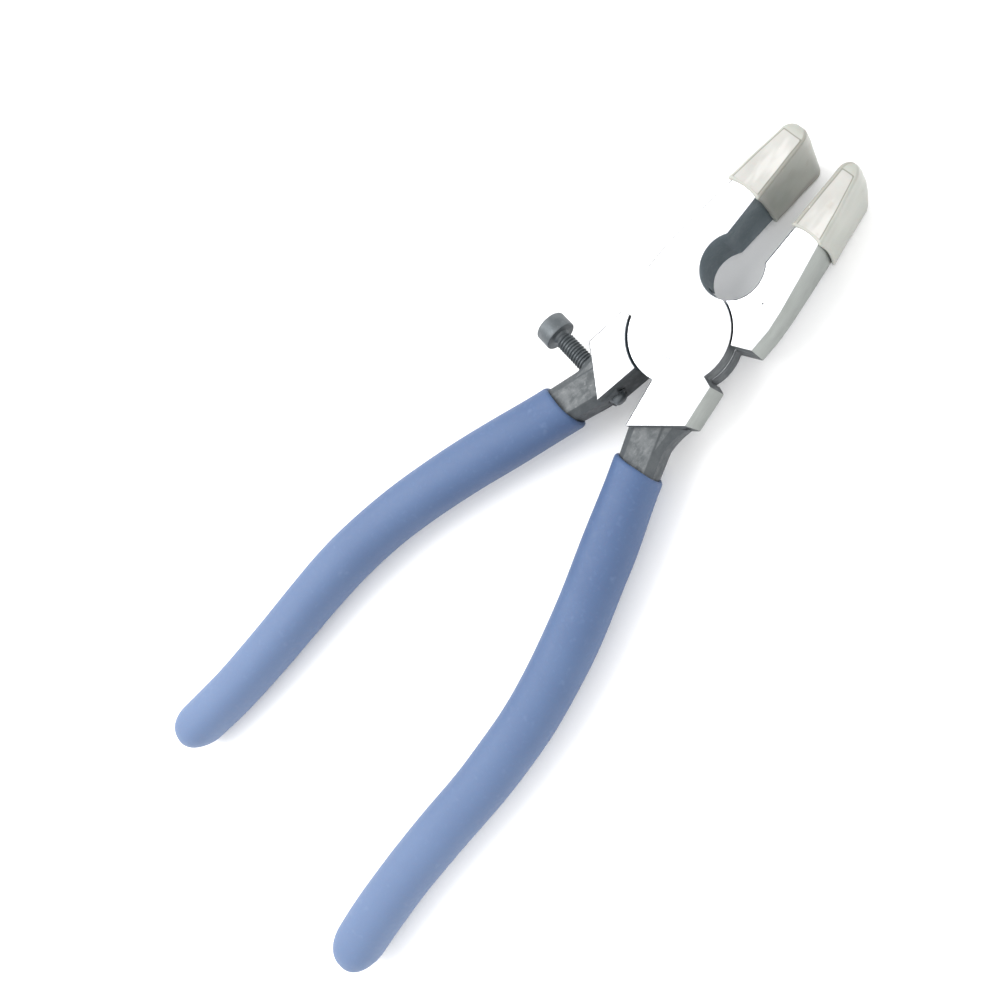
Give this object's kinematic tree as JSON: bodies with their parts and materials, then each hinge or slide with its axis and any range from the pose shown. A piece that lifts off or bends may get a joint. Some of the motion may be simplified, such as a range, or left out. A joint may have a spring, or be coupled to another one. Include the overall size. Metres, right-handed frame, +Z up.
{
  "type": "running pliers",
  "caption": "Running pliers with wide curved jaws in soft slip-on caps, a flush riveted lap joint, dipped vinyl grips and a screw that limits closing.",
  "frame": {"origin": "on the pivot axis, at the ground underside of the joint", "axes": "+X along the pliers towards the jaw tips, +Z up along the pivot axis; the upper half's jaw is on the +Y side"},
  "size_m": [0.2029, 0.0806, 0.0208],
  "materials": {
    "ground_steel": "ground bright, with dark forged inner faces",
    "forged_steel": "ground bright, with dark forged inner faces",
    "rivet_steel": "ground flush",
    "black_oxide": "black oxide, satin",
    "clear_vinyl": "cloudy translucent vinyl, satin",
    "blue_vinyl": "dipped vinyl, satin"
  },
  "bodies": {
    "lower_body": {"lower_half": "forged_steel", "pivot_rivet": "rivet_steel", "lower_jaw_cap": "clear_vinyl", "lower_half_grip": "blue_vinyl"},
    "upper_body": {"upper_half": "ground_steel", "upper_jaw_cap": "clear_vinyl", "upper_half_grip": "blue_vinyl"},
    "screw_body": {"stop_screw": "black_oxide"}
  },
  "joints": [
    {"name": "pivot", "type": "hinge", "parent": "lower_body", "child": "upper_body", "pos_m": [0, 0, 0.006], "axis": [0, 0, 1], "range_deg": [-10.8, 36]},
    {"name": "stop_screw_travel", "type": "slide", "parent": "lower_body", "child": "screw_body", "axis": [-0.075, -0.9972, 0], "range_m": [-0.009, 0.0004]}
  ]
}
